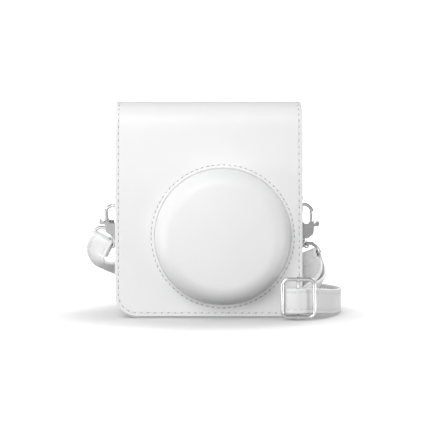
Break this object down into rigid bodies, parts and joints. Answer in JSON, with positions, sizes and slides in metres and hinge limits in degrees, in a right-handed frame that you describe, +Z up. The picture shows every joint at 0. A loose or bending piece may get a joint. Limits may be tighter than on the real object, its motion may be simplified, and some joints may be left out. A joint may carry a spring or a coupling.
{
  "type": "instant camera in a fitted case",
  "caption": "Instant camera in a fitted white leather-look case with a hinged flap, a round lens dome, side rings, clasps and an adjustable strap.",
  "frame": {"origin": "centre of the case's base, on the surface it stands on", "axes": "+Z up, the flap and lens dome face -Y, +X to the viewer's right"},
  "size_m": [0.1613, 0.1362, 0.131],
  "materials": {
    "white_leather": "fine-grained smooth white faux leather, satin",
    "fleece_lining": "short-pile white fleece",
    "polished_nickel": "polished nickel plating",
    "steel": "plain steel",
    "camera_white_plastic": "satin moulded white plastic",
    "camera_grey_plastic": "satin moulded grey plastic",
    "black_plastic": "matt black plastic",
    "dark_metal": "blackened sheet metal",
    "clear_glass": "clear, polished",
    "reflector_metal": "bright reflector",
    "roller_rubber": "matt rubber on steel shafts",
    "gear_nylon": "natural nylon",
    "motor_steel": "plated can",
    "battery_jacket": "printed-free grey jacket",
    "board_green": "green circuit board",
    "capacitor_sleeve": "dark heat-shrink sleeve"
  },
  "bodies": {
    "case": {"adjust_loop": "white_leather", "back_panel": "white_leather", "batteries": "battery_jacket", "battery_door": "camera_white_plastic", "camera_front_shell": "camera_white_plastic", "camera_rear_shell": "camera_white_plastic", "case_lining": "fleece_lining", "catch_plates": "steel", "clasp_body_left": "polished_nickel", "clasp_body_right": "polished_nickel", "clasp_pins": "polished_nickel", "counter_window": "clear_glass", "drive_motor": "motor_steel", "exposure_chamber": "black_plastic", "film_door": "camera_white_plastic", "film_pack": "black_plastic", "flap_back_strip": "white_leather", "flash_capacitor": "capacitor_sleeve", "flash_reflector": "reflector_metal", "flash_tube": "clear_glass", "flash_window": "clear_glass", "front_lip": "white_leather", "lens_bezel": "camera_grey_plastic", "light_sensor": "black_plastic", "main_board": "board_green", "release_switch": "black_plastic", "roller_bracket": "black_plastic", "shutter_blade": "dark_metal", "shutter_plate": "black_plastic", "side_d_rings": "polished_nickel", "side_gusset": "white_leather", "side_tabs": "white_leather", "slider_bar": "polished_nickel", "strap_band": "white_leather", "strap_coil": "white_leather", "strap_lead": "white_leather", "strap_ring_left": "polished_nickel", "strap_ring_right": "polished_nickel", "swivel_left": "polished_nickel", "swivel_right": "polished_nickel", "tab_rivets": "polished_nickel", "viewfinder_eyepiece": "clear_glass", "viewfinder_tunnel": "black_plastic", "viewfinder_window": "clear_glass"},
    "flap_top": {"flap_top_panel": "white_leather"},
    "flap_front": {"flap_front_panel": "white_leather", "flap_front_lining": "fleece_lining", "closure_magnets": "steel", "lens_dome": "white_leather"},
    "turning_ring": {"lens_turning_ring": "camera_grey_plastic"},
    "barrel": {"lens_barrel": "black_plastic", "lens_glass": "clear_glass"},
    "shutter_button": {"shutter_button": "camera_grey_plastic", "button_spring": "steel"},
    "front_roller": {"front_roller": "roller_rubber"},
    "rear_roller": {"rear_roller": "roller_rubber"},
    "drive_gear": {"drive_gear": "gear_nylon"},
    "gate_left": {"clasp_gate_left": "polished_nickel"},
    "gate_right": {"clasp_gate_right": "polished_nickel"},
    "slider_frame": {"slider_frame": "polished_nickel"}
  },
  "joints": [
    {"name": "flap_lift", "type": "hinge", "parent": "case", "child": "flap_top", "pos_m": [0, 0.02448, 0.12748], "axis": [-1, 0, 0], "range_deg": [0, 120]},
    {"name": "flap_unfold", "type": "hinge", "parent": "flap_top", "child": "flap_front", "pos_m": [0, -0.02331, 0.12631], "axis": [-1, 0, 0], "range_deg": [0, 90]},
    {"name": "lens_ring_turn", "type": "hinge", "parent": "case", "child": "turning_ring", "pos_m": [0.0083, -0.03, 0.0488], "axis": [0, -1, 0], "range_deg": [0, 45]},
    {"name": "lens_advance", "type": "slide", "parent": "case", "child": "barrel", "axis": [0, -1, 0], "range_m": [0, 0.00251]},
    {"name": "shutter_press", "type": "slide", "parent": "case", "child": "shutter_button", "axis": [0, 1, 0], "range_m": [0, 0.0012], "stiffness_N_per_m": 350, "springref_m": -0.002},
    {"name": "front_roller_spin", "type": "hinge", "parent": "case", "child": "front_roller", "pos_m": [0.0083, 0.008, 0.107], "axis": [1, 0, 0], "continuous": true},
    {"name": "rear_roller_spin", "type": "hinge", "parent": "case", "child": "rear_roller", "pos_m": [0.0083, 0.0163, 0.107], "axis": [1, 0, 0], "continuous": true},
    {"name": "drive_gear_spin", "type": "hinge", "parent": "case", "child": "drive_gear", "pos_m": [0.0433, -0.00274, 0.101], "axis": [1, 0, 0], "continuous": true},
    {"name": "gate_left_open", "type": "hinge", "parent": "case", "child": "gate_left", "pos_m": [-0.0616, 0.0115, 0.05513], "axis": [0, -0.8387, -0.5446], "range_deg": [0, 22], "stiffness_Nm_per_rad": 0.003, "springref_deg": -20.05},
    {"name": "gate_right_open", "type": "hinge", "parent": "case", "child": "gate_right", "pos_m": [0.0616, 0.006, 0.0535], "axis": [0, 1, 0], "range_deg": [0, 22], "stiffness_Nm_per_rad": 0.003, "springref_deg": -20.05},
    {"name": "slider_shift", "type": "slide", "parent": "case", "child": "slider_frame", "axis": [1, 0, 0], "range_m": [-0.003, 0]}
  ],
  "couplings": [
    {"joint": "flap_unfold", "follows": "flap_lift", "ratio": 0.75},
    {"joint": "lens_advance", "follows": "lens_ring_turn", "m_per_rad": 0.003183},
    {"joint": "rear_roller_spin", "follows": "front_roller_spin", "ratio": -1},
    {"joint": "drive_gear_spin", "follows": "front_roller_spin", "ratio": -0.5}
  ]
}
